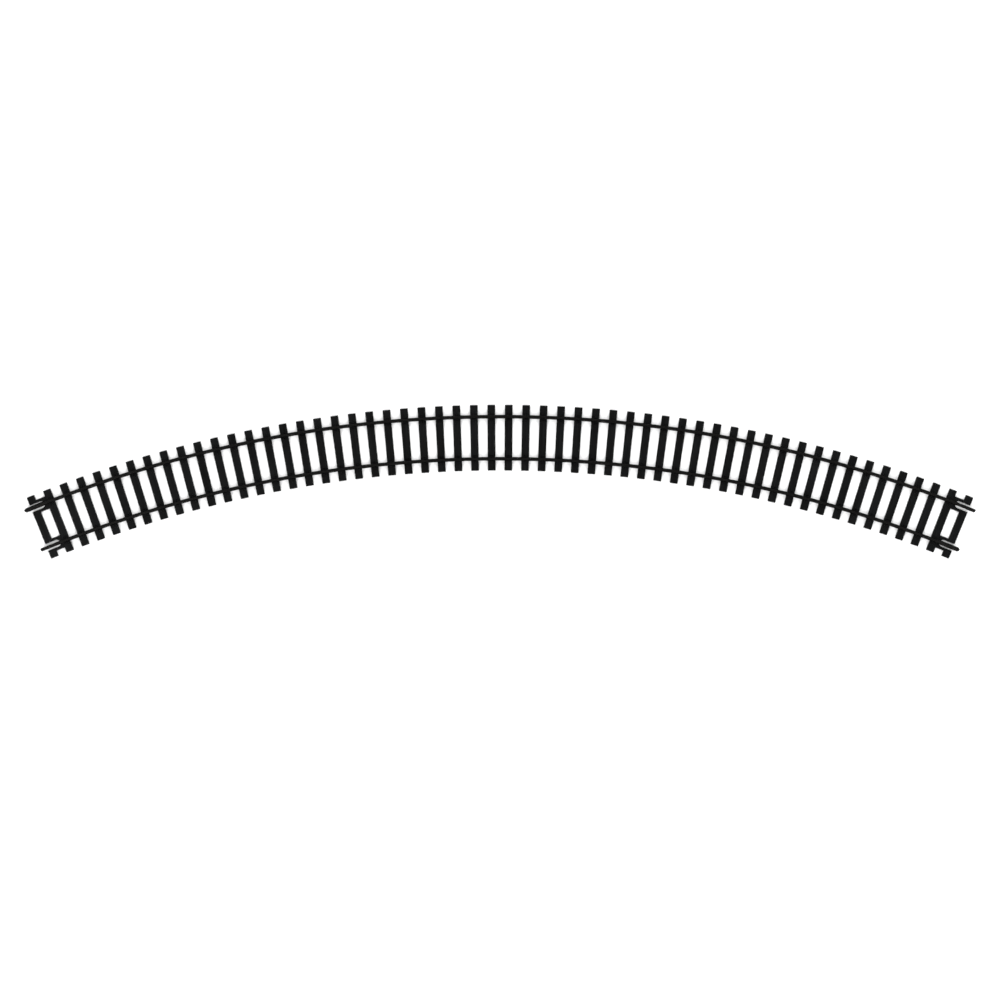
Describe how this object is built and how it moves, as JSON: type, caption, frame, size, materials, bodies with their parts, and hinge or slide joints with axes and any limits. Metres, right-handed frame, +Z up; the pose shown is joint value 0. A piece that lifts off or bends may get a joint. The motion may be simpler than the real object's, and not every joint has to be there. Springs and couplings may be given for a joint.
{
  "type": "model railway curved track section",
  "caption": "Curved section of sectional model railway track: two rails in the chairs of a moulded sleeper base slotted at both ends, with a sliding rail joiner on each end.",
  "frame": {"origin": "centre of the bounding box in plan, on the surface that the sleepers stand on", "axes": "+X along the chord of the curve, +Y towards the outside of the curve, +Z up"},
  "size_m": [0.3938, 0.0638, 0.0044],
  "materials": {
    "sleeper_plastic": "black moulded plastic with a faint grain",
    "rail_metal": "blackened drawn rail, satin on the running surface",
    "joiner_metal": "blackened folded sheet"
  },
  "bodies": {
    "track": {"sleeper_base": "sleeper_plastic", "outer_rail": "rail_metal", "inner_rail": "rail_metal"},
    "left_joiner": {"left_rail_joiner": "joiner_metal"},
    "right_joiner": {"right_rail_joiner": "joiner_metal"}
  },
  "joints": [
    {"name": "left_joiner_slide", "type": "slide", "parent": "track", "child": "left_joiner", "axis": [-0.9271, -0.3748, 0], "range_m": [0, 0.0044]},
    {"name": "right_joiner_slide", "type": "slide", "parent": "track", "child": "right_joiner", "axis": [0.9272, -0.3745, 0], "range_m": [0, 0.0044]}
  ]
}
